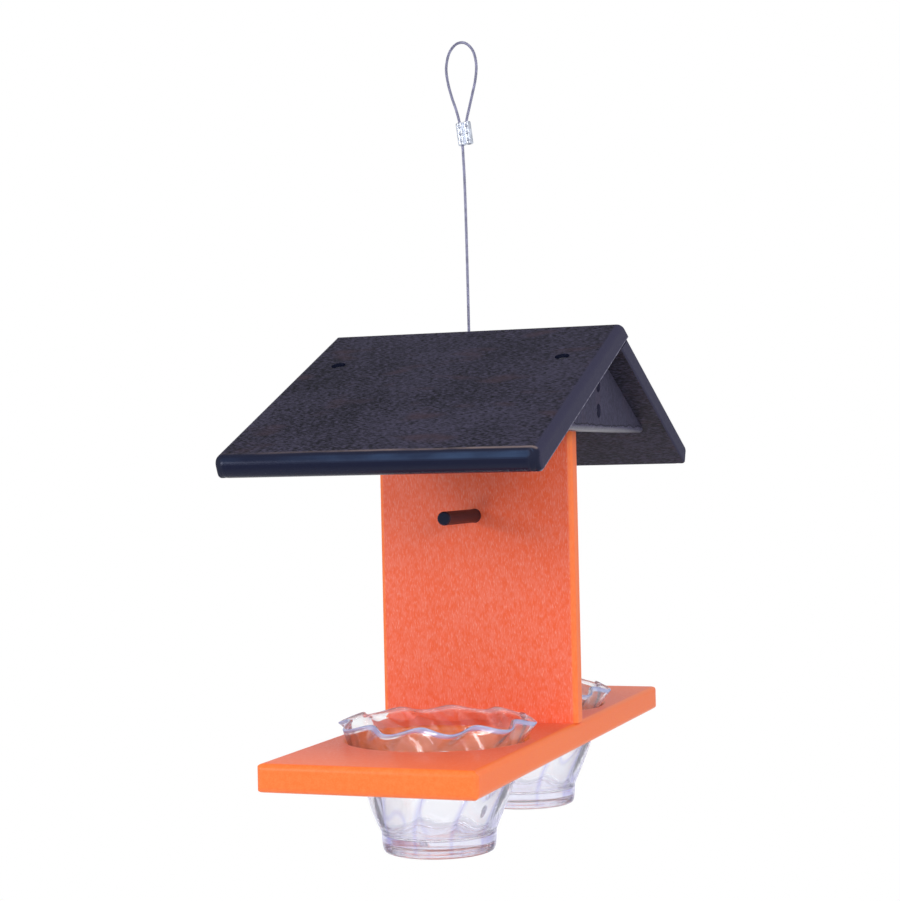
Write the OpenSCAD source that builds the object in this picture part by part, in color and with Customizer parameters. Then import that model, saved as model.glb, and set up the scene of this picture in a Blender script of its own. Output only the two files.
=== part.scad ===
// Hanging oriole feeder: an orange board with two clear jelly cups, an upright
// with a peg for orange halves, and a black two-panel roof on triangular blocks.
// Millimetres. +Z is up, X runs along the ridge, -Y is the front.
// The origin is the inside of the hanging loop's top, where a hook holds it.

/* [Boards] */
// Width of the base board and of the upright, along the ridge
board_w = 114.3; // [104:0.1:130]
// Length of the base board, front to back
base_l = 349.2; // [336:0.1:400]
// Thickness of the base board
base_t = 14.3; // [12:0.1:18]
// Thickness of the upright
upright_t = 12.7; // [11:0.1:16]
// Round on the edges of the orange boards
edge_round = 3.2; // [1:0.1:4]
// Height of the ridge above the underside of the base
ridge_h = 233; // [215:0.1:260]

/* [Roof] */
// Length of the roof along its ridge
roof_l = 170.8; // [160:0.1:200]
// Thickness of the roof panels
roof_t = 12.7; // [11:0.1:14]
// Pitch of both panels, in degrees
roof_pitch = 23.5; // [20:0.5:25]
// Width of the front panel, from the ridge to the eave
front_panel_w = 175.2; // [165:0.1:190]
// Width of the rear panel's outer face, from the front panel to the eave
rear_panel_w = 152.8; // [140:0.1:165]
// Round on the eave edges, at most half the panels' thickness
eave_round = 6.2; // [3:0.1:6.2]
// Round on the upper edges of the panels' ends
panel_round = 4.5; // [1:0.25:5]
// Radius of the panels' corners at the eaves
corner_round = 6; // [3:0.5:10]
// Radius of the ridge's round top
ridge_round = 5; // [2:0.5:8]
// Thickness of the triangular blocks
block_t = 14.3; // [12:0.1:16]
// Height of the triangular blocks, up to their peak under the ridge
block_h = 44.5; // [38:0.1:50]

/* [Cups] */
// Distance of each cup's centre from the upright's middle
cup_y = 73.5; // [72:0.5:77]
// Radius of a cup where it rests in its hole
seat_r = 47; // [44:0.1:48]
// Height of that place above the underside of the cup's foot
seat_h = 55.7; // [52:0.1:62]
// Height of the rim's middle above the underside of the foot
cup_h = 67.6; // [64:0.2:72]
// Radius of the rim
rim_r = 53.2; // [51:0.1:55]
// Radius of the foot
foot_r = 30.2; // [27:0.2:31]
// Height of the foot
foot_h = 10.6; // [8:0.2:12]
// Thickness of the cups' wall
cup_wall = 1.8; // [1.4:0.1:2.4]
// Thickness of the cups' floor
floor_t = 3.6; // [2:0.2:5]
// Depth of the hollow under the foot
recess_h = 4.8; // [3:0.2:6]
// Number of swirled flutes round a cup
flutes = 10; // [8:1:12]
// How far each flute turns from foot to rim, in degrees
swirl = 50; // [20:5:70]
// Radial depth of the flutes, from their middle to a crest
flute_depth = 1.1; // [0.5:0.1:1.4]
// How far the rim rises and falls
rim_wave = 1.5; // [1:0.1:2.4]

/* [Peg] */
// Diameter of the peg
peg_d = 7.5; // [6:0.1:9]
// Length of the peg on each side of the upright
peg_reach = 50; // [40:1:60]
// Height of the peg's axis above the underside of the base
peg_h = 129; // [110:1:140]

/* [Cable] */
// Diameter of the steel cable
cable_d = 1.6; // [1.4:0.1:1.8]
// Height of the hanging point above the ridge
cable_rise = 161.7; // [150:0.1:200]

/* [Screws] */
// Diameter of the screws' shanks
screw_d = 3.6; // [3:0.1:4]
// Diameter of the screws' heads
head_d = 7; // [6.4:0.1:7.4]
// Diameter of the counterbores
sink_d = 8; // [7.6:0.1:9]
// Depth of the counterbores
sink_depth = 4; // [3:0.5:5]

/* [Hidden] */
$fn = 48;

// Height of the hanging point above the underside of the base
hang_h = ridge_h + cable_rise;
// How far the hanging point lies to the left of the feeder's middle
loop_offset = 4;
// Where the cable goes down through the ridge, from the hanging point
strand_x = 1;

// Clearance between pieces that lie face to face
seat = 0.05;
// Gap between a cup and the straight wall of its hole; over the wall's round edge the
// cup comes a little nearer
cup_gap = 0.45;
// Extra length of a cut beyond the face it goes through
over = 1;

orange = "#ee6a35";
black = "#35343c";
clear = [0.86, 0.88, 0.96, 0.45];
steel = "#8e9096";
alloy = "#c9ccd3";

// The roof's section: the two outer planes meet at the ridge line, at y 0
pitch_sin = sin(roof_pitch);
pitch_cos = cos(roof_pitch);
pitch_tan = tan(roof_pitch);
// Upright thickness of a panel, and height of the line where the undersides meet
panel_drop = roof_t / pitch_cos;
under_ridge = ridge_h - panel_drop;
// The front panel runs over the rear one; its end is cut along the rear outer face
lap_y = panel_drop / (2 * pitch_tan);
lap_slope = lap_y / pitch_cos;
rear_slope_w = rear_panel_w + lap_slope;
// The lower edges of the panels' ends are only eased. A corner's round starts a little
// outside the edges that it joins, so it meets them at a slight angle.
under_round = 1.2;
corner_start = 0.25;

// Round on the upper edge of the cup holes
hole_round = 2.4;
hole_r = seat_r + cup_gap;

block_x = (board_w + block_t) / 2;
block_bottom = under_ridge - block_h;
// The blocks' thin tips are cut off this far before the panels' undersides
block_tip_cut = 2;
block_tip_y = block_h / pitch_tan - block_tip_cut;
// The upright stops just under the panels
upright_gap = 0.3;
upright_top = under_ridge - upright_t / 2 * pitch_tan - upright_gap;

// The peg's middle fills its hole in the upright; its free ends are a little thinner
peg_seat_d = peg_d + 0.4;
peg_chamfer = 0.6;

// Screws: lengths and heads, and where each group stands
screw_l = 32;
point_l = 6;
head_rim_h = 1.4;
head_crown_h = 0.9;
drive_l = 4;
drive_w = 1;
drive_depth = 1.3;
roof_screw_run = 48;
gable_screw_rise = [11, 25];
base_screw_x = [-38, 0, 38];

// The cable's bore through the ridge and the upright, and its cross hole, whose
// middle lies so deep under the ridge
cable_bore_d = 2.6;
stop_hole_d = 10;
stop_hole_depth = 36;
stop_hole_h = ridge_h - stop_hole_depth;
stop_d = 5;
stop_l = 7;
stop_top = stop_hole_h + sqrt(pow(stop_hole_d / 2, 2) - pow(stop_d / 2, 2)) - seat;

// Ferrule of the hanging loop
ferrule_l = 12.8;
barrel_d = 4.5;
barrel_gap = 4.2;
ferrule_tilt = 7;
barrel_bore_d = cable_d + 0.2;
// Middle of the ferrule, from the hanging point
ferrule_x = 1;
ferrule_z = -50.7;

// The cable's middle line as [x, z] from the hanging point, in the plane y 0:
// from the stop in the upright up to the ferrule, round the loop and back into it
cable_low = -cable_rise - stop_hole_depth;
cable_route = [
    [strand_x, cable_low - 4], [strand_x, cable_low + 9], [strand_x, -cable_rise],
    [0.9, -129], [0.7, -99], [0.4, -77], [0, -65],
    [-0.3, -58], [-1.1, -50.7], [-1.9, -44.2],
    [-3.6, -37.3], [-6, -30], [-8.2, -21.5], [-9.1, -13], [-7.4, -5.2], [-3.9, -0.6],
    [0, 0.8],
    [3.9, -0.6], [7.4, -5.2], [8.9, -13], [8, -21.5], [6.1, -29], [4, -37],
    [2.3, -44.2], [3.1, -50.7], [3.8, -56.9]
];
cable_sides = 8;
cable_step = 4.6;

// The cups: rows of points up the wall, and points round each row
cup_rows = 11;
cup_round = 80;
// Where a flute's crest stands at the rim, in degrees
rim_crest = 10;
// The wall leaves the foot in a round belly, then widens evenly up to its seat
belly = 2.4;
belly_h = 9;
foot_step = 0.2;
seat_rise = seat_h - foot_h;
wall_slope = (seat_r - foot_r - foot_step - belly * (1 - exp(-seat_rise / belly_h))) / seat_rise;
// Extra depth of the flutes at the rim
rim_flute = 2.2;
floor_h = recess_h + floor_t;
cup_bottom = base_t - hole_round - seat_h;

// Places a piece whose heights are counted from the underside of the base
module feeder() {
    translate([loop_offset, 0, -hang_h]) children();
}

// A flat shape with round corners, centred on the origin
module round_rect(w, h, r) {
    square([w - 2 * r, h], center = true);
    square([w, h - 2 * r], center = true);
    for (x = [-1, 1], y = [-1, 1])
        translate([x * (w / 2 - r), y * (h / 2 - r)]) circle(r);
}

// A board with all twelve edges rounded, centred on the origin
module eased_board(w, d, h, r) {
    intersection() {
        linear_extrude(h, center = true) round_rect(w, d, r);
        rotate([90, 0, 0]) linear_extrude(d, center = true) round_rect(w, h, r);
        rotate([90, 0, 90]) linear_extrude(w, center = true) round_rect(d, h, r);
    }
}

// The cup holes, with a small round on the upper edge
module cup_holes() {
    for (y = [-cup_y, cup_y])
        translate([0, y, 0]) {
            translate([0, 0, -over]) cylinder(r = hole_r, h = base_t + 2 * over, $fn = 96);
            translate([0, 0, base_t]) rotate_extrude($fn = 96) difference() {
                translate([hole_r - over, -hole_round]) square([hole_round + over, hole_round + over]);
                translate([hole_r + hole_round, -hole_round]) circle(hole_round);
            }
        }
}

// Counterbore and shank hole of one screw that goes down from the origin
module screw_hole(shank_l) {
    translate([0, 0, -sink_depth]) cylinder(d = sink_d, h = sink_depth + over);
    translate([0, 0, -shank_l]) cylinder(d = screw_d + 2 * seat, h = shank_l);
}

// A pan head screw that goes down from the origin, its head in the counterbore
module screw() {
    translate([0, 0, -sink_depth]) {
        difference() {
            union() {
                cylinder(d = head_d, h = head_rim_h);
                translate([0, 0, head_rim_h])
                    cylinder(d1 = head_d, d2 = head_d - 2 * head_crown_h, h = head_crown_h);
            }
            translate([0, 0, head_rim_h + head_crown_h - drive_depth]) cross_recess();
        }
        translate([0, 0, -screw_l + point_l]) cylinder(d = screw_d, h = screw_l - point_l);
        translate([0, 0, -screw_l]) cylinder(d1 = screw_d / 6, d2 = screw_d, h = point_l);
    }
}

// The cross for the screwdriver
module cross_recess() {
    for (a = [0, 90])
        rotate([0, 0, a]) translate([-drive_l / 2, -drive_w / 2, 0])
            cube([drive_l, drive_w, drive_depth + over]);
}

// Carries children to the roof screws' places on one panel; side -1 is the front
module at_roof_screws(side) {
    for (x = [-block_x, block_x])
        translate([x, side * roof_screw_run * pitch_cos, ridge_h - roof_screw_run * pitch_sin])
            rotate([-side * roof_pitch, 0, 0]) children();
}

// Carries children to the screws' places on one gable block; side -1 is the left
module at_gable_screws(side) {
    for (z = gable_screw_rise)
        translate([side * (board_w / 2 + block_t), 0, block_bottom + z])
            rotate([0, side * 90, 0]) children();
}

module at_base_screws() {
    for (x = base_screw_x)
        translate([x, 0, 0]) rotate([180, 0, 0]) children();
}

// The upright bore that the cable goes through, down to its cross hole
module cable_bore(bottom) {
    translate([strand_x - loop_offset, 0, bottom])
        cylinder(d = cable_bore_d, h = ridge_h + over - bottom);
}

// What a round edge takes off a square one that runs along Y at the origin; the
// solid lies towards -X and +Z
module round_edge_cut(l, r) {
    rotate([90, 0, 0]) linear_extrude(l, center = true) difference() {
        translate([-r, -over]) square([r + over, r + over]);
        translate([-r, r]) circle(r);
    }
}

module base_board() {
    color(orange) feeder() difference() {
        translate([0, 0, base_t / 2]) eased_board(board_w, base_l, base_t, edge_round);
        cup_holes();
        at_base_screws() screw_hole(screw_l);
    }
}

// Its long edges are rounded and its ends are cut square
module upright_board() {
    h = upright_top - base_t;
    color(orange) feeder() difference() {
        translate([0, 0, base_t]) linear_extrude(h) round_rect(board_w, upright_t, edge_round);
        translate([0, 0, peg_h]) rotate([90, 0, 0])
            cylinder(d = peg_seat_d, h = upright_t + 2 * over, center = true);
        translate([strand_x - loop_offset, 0, stop_hole_h]) rotate([90, 0, 0])
            cylinder(d = stop_hole_d, h = upright_t + 2 * over, center = true);
        cable_bore(stop_hole_h);
        at_base_screws() screw_hole(screw_l + sink_depth);
        for (side = [-1, 1])
            at_gable_screws(side) screw_hole(screw_l + sink_depth);
    }
}

// A panel's section in the plane of its slope: x runs from the ridge to the eave,
// y is the height over the outer face. The eave end has round edges.
module panel_section(w) {
    r = min(eave_round, roof_t / 2 - seat);
    translate([-panel_drop, -roof_t]) square([w - r + panel_drop, roof_t]);
    translate([w - r, -roof_t + r]) square([r, roof_t - 2 * r]);
    for (y = [-r, r - roof_t])
        translate([w - r, y]) circle(r);
}

// A panel's section along the ridge, its outer face at y 0 and rounded at both ends
module panel_end_section() {
    half = roof_l / 2;
    translate([panel_round - half, -roof_t]) square([roof_l - 2 * panel_round, roof_t]);
    translate([under_round - half, -roof_t])
        square([roof_l - 2 * under_round, roof_t - panel_round]);
    translate([-half, under_round - roof_t])
        square([roof_l, roof_t - panel_round - under_round]);
    for (x = [-1, 1]) {
        translate([x * (half - panel_round), -panel_round]) circle(panel_round);
        translate([x * (half - under_round), under_round - roof_t]) circle(under_round);
    }
}

// What a round corner takes off a square one; the corner is at the origin, towards +X and +Y
module corner_cut() {
    middle = corner_start - corner_round;
    translate([0, 0, -roof_t - over]) linear_extrude(roof_t + 2 * over) difference() {
        translate([middle, middle]) square(corner_round + over);
        translate([middle, middle]) circle(corner_round);
    }
}

// A panel as an unfinished slab, its outer face through the ridge line; side -1 is the front
module panel_slab(side, w) {
    translate([0, 0, ridge_h]) rotate([side * -roof_pitch, 0, 0]) difference() {
        intersection() {
            rotate([90, 0, side * 90]) linear_extrude(roof_l, center = true) panel_section(w);
            translate([0, side * w / 2, 0]) rotate([90, 0, 0])
                linear_extrude(2 * w, center = true) panel_end_section();
        }
        translate([roof_l / 2, side * w, 0]) mirror([0, side < 0 ? 1 : 0, 0]) corner_cut();
        translate([-roof_l / 2, side * w, 0])
            mirror([1, 0, 0]) mirror([0, side < 0 ? 1 : 0, 0]) corner_cut();
    }
}

// Everything above one panel's outer plane, lowered by drop
module above_plane(side, drop) {
    size = 400;
    translate([0, 0, ridge_h - drop]) rotate([side * -roof_pitch, 0, 0])
        translate([-size / 2, -size / 2, 0]) cube([size, size, size / 2]);
}

// What the ridge's round top takes off the sharp ridge line
module ridge_cut() {
    half = ridge_round * pitch_sin;
    middle = ridge_h - ridge_round / pitch_cos;
    rotate([90, 0, 90]) linear_extrude(roof_l + 2 * over, center = true) difference() {
        translate([-half, middle + ridge_round * pitch_cos]) square([2 * half, ridge_round]);
        translate([0, middle]) circle(ridge_round);
    }
}

module front_roof_panel() {
    color(black) feeder() difference() {
        panel_slab(-1, front_panel_w);
        above_plane(1, 0);
        ridge_cut();
        cable_bore(under_ridge - over);
        at_roof_screws(-1) screw_hole(screw_l + sink_depth);
    }
}

module rear_roof_panel() {
    color(black) feeder() difference() {
        panel_slab(1, rear_slope_w);
        above_plane(-1, panel_drop + seat);
        cable_bore(under_ridge - over);
        at_roof_screws(1) screw_hole(screw_l + sink_depth);
    }
}

// A triangular block between the panels' undersides, screwed to the upright's edge
module gable_block(side) {
    top = under_ridge - seat;
    tip = top - block_tip_y * pitch_tan;
    outline = [
        [-block_tip_y, block_bottom], [block_tip_y, block_bottom], [block_tip_y, tip],
        [0, top], [-block_tip_y, tip]
    ];
    difference() {
        translate([side * (block_x + seat), 0, 0]) rotate([90, 0, 90])
            linear_extrude(block_t - 2 * seat, center = true) polygon(outline);
        translate([side * (block_x + block_t / 2), 0, block_bottom])
            mirror([side < 0 ? 1 : 0, 0, 0]) round_edge_cut(2 * block_tip_y + 2 * over, edge_round);
        at_gable_screws(side) screw_hole(screw_l + sink_depth);
        for (face = [-1, 1])
            at_roof_screws(face) screw_hole(screw_l + sink_depth);
    }
}

module left_gable_block() {
    color(black) feeder() gable_block(-1);
}

module right_gable_block() {
    color(black) feeder() gable_block(1);
}

module orange_peg() {
    c = peg_chamfer;
    color(black) feeder() translate([0, 0, peg_h]) rotate([90, 0, 0]) {
        cylinder(d = peg_seat_d, h = upright_t, center = true);
        for (m = [0, 1])
            mirror([0, 0, m]) translate([0, 0, upright_t / 2]) {
                cylinder(d = peg_d, h = peg_reach - c);
                translate([0, 0, peg_reach - c]) cylinder(d1 = peg_d, d2 = peg_d - 2 * c, h = c);
            }
    }
}

// A cup's outline through the crests of the flutes: its radius at a height over the foot
function flare_at(z) = pow(max(0, z - seat_h) / (cup_h - seat_h), 2);
function wall_at(z) =
    foot_r + foot_step + belly * (1 - exp(-(z - foot_h) / belly_h)) + wall_slope * (z - foot_h);
function outline_at(z) = wall_at(z) + (rim_r - wall_at(cup_h)) * flare_at(z);

// Radial depth of the flutes at a height
function depth_at(z) = flute_depth * (1 - exp(-(z - foot_h) / belly_h)) + rim_flute * flare_at(z);

// How far a flute has turned back from its place at the rim, in degrees; it leans most
// just under the rim
function turn_at(z) = swirl * (1 - pow(max(0, z - foot_h) / (cup_h - foot_h), 1.5));

// The rim's rise and fall fades out down to the seat
function wave_at(z) = rim_wave * max(0, z - seat_h) / (cup_h - seat_h);

// One station of a cup's wall, inset by so much: [radius, height, flute depth, wave]
function wall_station(z, inset) =
    [outline_at(z) - depth_at(z) - inset, z, depth_at(z), wave_at(z)];

// The points of one station, all round
function cup_ring(s) = [
    for (i = [0:cup_round - 1])
        let (
            a = i * 360 / cup_round,
            wave = cos(flutes * (a - rim_crest + turn_at(s[1]))),
            r = s[0] + s[2] * wave
        )
        [r * cos(a), r * sin(a), s[1] - s[3] * wave]
];

// The stations from under the foot up the outside, over the rim and down the inside
function cup_stations() =
    let (
        top = cup_h - 2,
        heights = [for (k = [1:cup_rows]) foot_h + (top - foot_h) * pow(k / cup_rows, 1.4)],
        foot = [
            [foot_r - 5.7, recess_h], [foot_r - 4.4, recess_h - 0.6], [foot_r - 3.6, 0.6],
            [foot_r - 3, 0], [foot_r - 1.8, 0], [foot_r - 1, 0.9], [foot_r - 0.3, 4],
            [foot_r, foot_h - 0.5], [foot_r + foot_step, foot_h + 0.2]
        ],
        edge = wall_station(cup_h, 0),
        rim = [
            for (p = [[0, -0.7], [-0.3, 0.4], [-1.2, 0.8], [-2.2, 0.2], [-2.5, -0.8]])
                edge + [p[0], p[1], 0, 0]
        ],
        corner = wall_station(floor_h + 3.4, cup_wall + 0.3),
        bottom = [
            for (p = [[0, 0], [-0.9, -1.9], [-2.8, -3.1], [-5.4, -3.4]])
                [corner[0] + p[0], corner[1] + p[1], corner[2] * (1 + p[1] / 3.4), 0]
        ]
    )
    concat(
        [for (p = foot) [p[0], p[1], 0, 0]],
        [for (z = heights) wall_station(z, 0)],
        rim,
        [for (k = [cup_rows - 1:-1:0]) if (heights[k] > floor_h + 5) wall_station(heights[k], cup_wall)],
        bottom
    );

module jelly_cup() {
    stations = cup_stations();
    n = cup_round;
    last = len(stations) - 1;
    points = [for (s = stations) each cup_ring(s)];
    sides = [
        for (k = [0:last - 1], i = [0:n - 1])
            let (a = k * n + i, b = k * n + (i + 1) % n)
            each [[a, a + n, b + n], [a, b + n, b]]
    ];
    ends = [
        [for (i = [0:n - 1]) i],
        [for (i = [n - 1:-1:0]) last * n + i]
    ];
    polyhedron(points, concat(sides, ends), convexity = 10);
}

module front_jelly_cup() {
    color(clear) feeder() translate([0, -cup_y, cup_bottom]) jelly_cup();
}

module rear_jelly_cup() {
    color(clear) feeder() translate([0, cup_y, cup_bottom]) jelly_cup();
}

// A smooth curve through the route's points, by Catmull and Rom's rule
function route_point(p, k) = p[max(0, min(len(p) - 1, k))];
function on_route(p, t) =
    let (
        k = min(len(p) - 2, floor(t)),
        u = t - k,
        a = route_point(p, k - 1),
        b = route_point(p, k),
        c = route_point(p, k + 1),
        d = route_point(p, k + 2)
    )
    0.5 * (2 * b + (c - a) * u + (2 * a - 5 * b + 4 * c - d) * u * u
        + (3 * b - a - 3 * c + d) * u * u * u);

// How many steps of the cable lie between two neighbouring route points
function route_steps(p, k) = max(1, round(norm(p[k + 1] - p[k]) / cable_step));

function route_params(p) = concat(
    [for (k = [0:len(p) - 2], j = [0:route_steps(p, k) - 1]) k + j / route_steps(p, k)],
    [len(p) - 1]
);

// One ring of the cable, square to the route, which lies in the plane y 0
function cable_ring(p, t) =
    let (
        c = on_route(p, t),
        d = on_route(p, min(len(p) - 1, t + 0.01)) - on_route(p, max(0, t - 0.01)),
        side = [d[1], -d[0]] / norm(d)
    )
    [
        for (i = [0:cable_sides - 1])
            let (
                a = i * 360 / cable_sides,
                r = cable_d / 2
            )
            [c[0] + r * cos(a) * side[0], r * sin(a), c[1] + r * cos(a) * side[1]]
    ];

module hanging_cable() {
    params = route_params(cable_route);
    n = cable_sides;
    last = len(params) - 1;
    points = [for (t = params) each cable_ring(cable_route, t)];
    sides = [
        for (k = [0:last - 1], i = [0:n - 1])
            let (a = k * n + i, b = k * n + (i + 1) % n)
            each [[a, b, b + n], [a, b + n, a + n]]
    ];
    ends = [
        [for (i = [n - 1:-1:0]) i],
        [for (i = [0:n - 1]) last * n + i]
    ];
    color(steel) polyhedron(points, concat(sides, ends), convexity = 10);
}

// Two pressed barrels side by side, one for each leg of the loop
module loop_ferrule() {
    color(alloy) translate([ferrule_x, 0, ferrule_z]) rotate([0, -ferrule_tilt, 0])
        linear_extrude(ferrule_l, center = true) difference() {
            union() {
                for (x = [-1, 1])
                    translate([x * barrel_gap / 2, 0]) circle(d = barrel_d);
                square([barrel_gap, barrel_d * 0.6], center = true);
            }
            for (x = [-1, 1])
                translate([x * barrel_gap / 2, 0]) circle(d = barrel_bore_d);
        }
}

// The stop pressed on the cable's lower end, in the upright's cross hole
module stop_ferrule() {
    color(alloy) feeder() translate([strand_x - loop_offset, 0, stop_top - stop_l]) difference() {
        cylinder(d = stop_d, h = stop_l);
        translate([0, 0, -over]) cylinder(d = barrel_bore_d, h = stop_l + 2 * over);
    }
}

module front_roof_screws() {
    color(steel) feeder() at_roof_screws(-1) screw();
}

module rear_roof_screws() {
    color(steel) feeder() at_roof_screws(1) screw();
}

module left_gable_screws() {
    color(steel) feeder() at_gable_screws(-1) screw();
}

module right_gable_screws() {
    color(steel) feeder() at_gable_screws(1) screw();
}

module base_screws() {
    color(steel) feeder() at_base_screws() screw();
}

base_board();
upright_board();
front_roof_panel();
rear_roof_panel();
left_gable_block();
right_gable_block();
orange_peg();
front_jelly_cup();
rear_jelly_cup();
hanging_cable();
loop_ferrule();
stop_ferrule();
front_roof_screws();
rear_roof_screws();
left_gable_screws();
right_gable_screws();
base_screws();
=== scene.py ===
"""A hanging oriole feeder: recycled lumber boards, two clear jelly cups and a steel cable.

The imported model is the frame. The orange boards, the blocks, the peg, the screws and the cable's
stop keep their solids and get their materials here. The roof panels get rounder corners, and the
cable, its loop's ferrule and the two cups are modelled finer.
Metres; +Z is up, X runs along the ridge and -Y is the front. The origin is the hanging point.
"""

import math

import bmesh
import bpy
from bpy.props import FloatProperty, FloatVectorProperty, IntProperty, PointerProperty
from bpy.types import Operator, Panel, PropertyGroup
from mathutils import Matrix, Vector


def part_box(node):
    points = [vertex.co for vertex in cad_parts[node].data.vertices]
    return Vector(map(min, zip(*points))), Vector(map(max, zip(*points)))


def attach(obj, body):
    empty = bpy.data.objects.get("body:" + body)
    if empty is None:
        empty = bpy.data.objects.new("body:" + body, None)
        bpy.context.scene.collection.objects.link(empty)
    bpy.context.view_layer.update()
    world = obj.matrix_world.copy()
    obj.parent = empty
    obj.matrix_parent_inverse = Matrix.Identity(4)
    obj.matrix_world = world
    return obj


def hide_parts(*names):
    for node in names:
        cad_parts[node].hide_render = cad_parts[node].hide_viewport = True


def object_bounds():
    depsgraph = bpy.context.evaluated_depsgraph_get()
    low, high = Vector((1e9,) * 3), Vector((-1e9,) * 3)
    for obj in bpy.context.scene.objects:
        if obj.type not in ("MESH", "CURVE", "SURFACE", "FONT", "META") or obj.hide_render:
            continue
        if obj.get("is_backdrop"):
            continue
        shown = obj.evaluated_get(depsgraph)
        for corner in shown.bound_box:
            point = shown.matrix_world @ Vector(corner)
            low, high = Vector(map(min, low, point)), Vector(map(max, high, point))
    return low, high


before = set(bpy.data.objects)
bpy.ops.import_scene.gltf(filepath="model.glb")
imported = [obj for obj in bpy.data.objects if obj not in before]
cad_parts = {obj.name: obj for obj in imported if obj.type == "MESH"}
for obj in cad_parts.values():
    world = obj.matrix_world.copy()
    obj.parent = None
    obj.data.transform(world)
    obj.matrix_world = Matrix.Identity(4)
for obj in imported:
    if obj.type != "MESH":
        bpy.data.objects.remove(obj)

bl_info = {
    "name": "Oriole Feeder",
    "version": (1, 0, 0),
    "blender": (4, 5, 0),
    "location": "View3D > Sidebar > Feeder",
    "description": "Models a hanging feeder with a roof, two clear cups and a steel cable",
    "category": "Object",
}

MM = 0.001

# The cable's middle line as (x, z) in millimetres from the hanging point, in the plane y 0:
# from the stop in the upright up to the ferrule, round the loop and back into it
CABLE_ROUTE = [
    (1, -201.7), (1, -188.7), (1, -161.7), (0.9, -129), (0.7, -99), (0.4, -77), (0, -65),
    (-0.3, -58), (-1.1, -50.7), (-1.9, -44.2),
    (-3.6, -37.3), (-6, -30), (-8.2, -21.5), (-9.1, -13), (-7.4, -5.2), (-3.9, -0.6),
    (0, 0.8),
    (3.9, -0.6), (7.4, -5.2), (8.9, -13), (8, -21.5), (6.1, -29), (4, -37),
    (2.3, -44.2), (3.1, -50.7), (3.8, -56.9),
]
# Distance between the points at which its strands are placed
CABLE_STEP = 0.7 * MM

# The ferrule's middle, and how far it leans to the left
FERRULE_PLACE = (1 * MM, 0, -50.7 * MM)
FERRULE_TILT = math.radians(-7)

# The cups: middle of each foot's underside, front and rear
CUP_PLACES = {
    "front": (4 * MM, -73.5 * MM, -438.5 * MM),
    "rear": (4 * MM, 73.5 * MM, -438.5 * MM),
}

# The roof's ridge line and pitch, and how far the front panel runs down to its round nose
RIDGE_Z = -161.7 * MM
ROOF_PITCH = math.radians(23.5)
FRONT_RUN = 169 * MM
PANEL_THICK = 12.7 * MM
# Rounds on the panels' edges: the nose, and the upper and lower edges of the ends
NOSE_ROUND = 6.2 * MM
END_ROUND = 4.5 * MM
END_EASE = 1.2 * MM
# The roof's middle along the ridge, and how far it reaches to each side before its ends turn down
ROOF_MIDDLE = 4 * MM
ROOF_REACH = 80 * MM
# Edges that turn more than this are shaded as sharp ones
SHARP_TURN = math.radians(35)
# The upright gets a painted shade over the peg's root

# Where the peg leaves the upright's front face
PEG_ROOT = (4 * MM, -6.35 * MM, -265.7 * MM)

# Marks on the orange boards: a painted shade over the peg's root, and purer orange towards the base's
# ends
PEG_PAINTED_SHADE = (0.35, 0.06, 0.05)
BASE_END = (0.95, 0.17, 0.045)
# Marks on the front panel: a darker nose, a rubbed line, a painted highlight band on the nose and
# painted highlights along the lower edges of its ends
NOSE_DARK = (0.010, 0.012, 0.028)
NOSE_PAINTED_HIGHLIGHT = (0.03, 0.05, 0.10)
RUBBED_LINE = (0.2, 0.15, 0.14)
END_EDGE_PAINTED_HIGHLIGHT = (0.32, 0.31, 0.4)
# Marks on the triangular blocks; the flecks along the lower edge are partly a painted highlight
BLOCK_PALE = (0.095, 0.09, 0.15)
BLOCK_FLECK_AND_HIGHLIGHT = (0.115, 0.105, 0.17)
BLOCK_CRACK = (0.004, 0.004, 0.007)
# The peg's sides and its cut ends
PEG_SIDE = (0.042, 0.016, 0.02)
PEG_END = (0.014, 0.017, 0.036)
# The black lumber's tint in its gloss
BLACK_GLOSS = (0.72, 0.76, 1.0)
# The painted reflection round the cups' rims: painted glints outside, and its tone on the inner side
RIM_PAINTED_GLINT = (0.58, 0.66, 0.90)
RIM_INSIDE_PAINTED_REFLECTION = (0.95, 0.82, 0.84)
SCREW_STEEL = (0.5, 0.5, 0.54)

# The camera: its place, its turn as yaw, pitch and roll in radians, and its lens and sensor in mm
CAMERA_PLACE = (0.359785, -1.028409, -0.237525)
CAMERA_TURN = (0.3468, 0.0079, -0.0221)
CAMERA_LENS = 77.371
CAMERA_SENSOR = 36

# Lamps as (name, place, width, power, colour), all turned to the feeder's middle
LAMP_AIM = (0, 0, -0.27)
LAMPS = [
    ("key_light", (0.3, -1.6, 0.03), 1.0, 1.2, (1.0, 0.99, 1.0)),
    ("side_light", (1.35, -0.35, -0.1), 0.9, 2.4, (0.97, 0.97, 1.0)),
    ("top_light", (0.4, -0.45, 1.1), 1.2, 8.0, (0.98, 0.97, 1.0)),
    ("left_window", (-0.85, -1.1, 0.1), 0.38, 5.6, (1.0, 1.0, 1.0)),
    ("right_window", (0.8, -1.3, 0.05), 0.38, 5.0, (1.0, 1.0, 1.0)),
]

# The white room that glossy and clear surfaces show: the directions of its walls' middles, the
# darker opening on the camera's side and the dim ceiling. An edge says how squarely that part is
# met where it starts to show, and where it shows in full
ROOM_WALLS = [math.radians(112), math.radians(22)]
ROOM_WALL_EDGE = (0.743, 0.88)
ROOM_OPENING = (0.34, -0.94, 0.0)
ROOM_OPENING_EDGE = (0.82, 0.96)
ROOM_OPENING_TONE = (0.1, 0.1, 0.12)
ROOM_CEILING_EDGE = (0.25, 0.7)
ROOM_CEILING_TONE = (0.02, 0.02, 0.03)
AMBIENT_TINT = (0.95, 0.96, 1)
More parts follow.
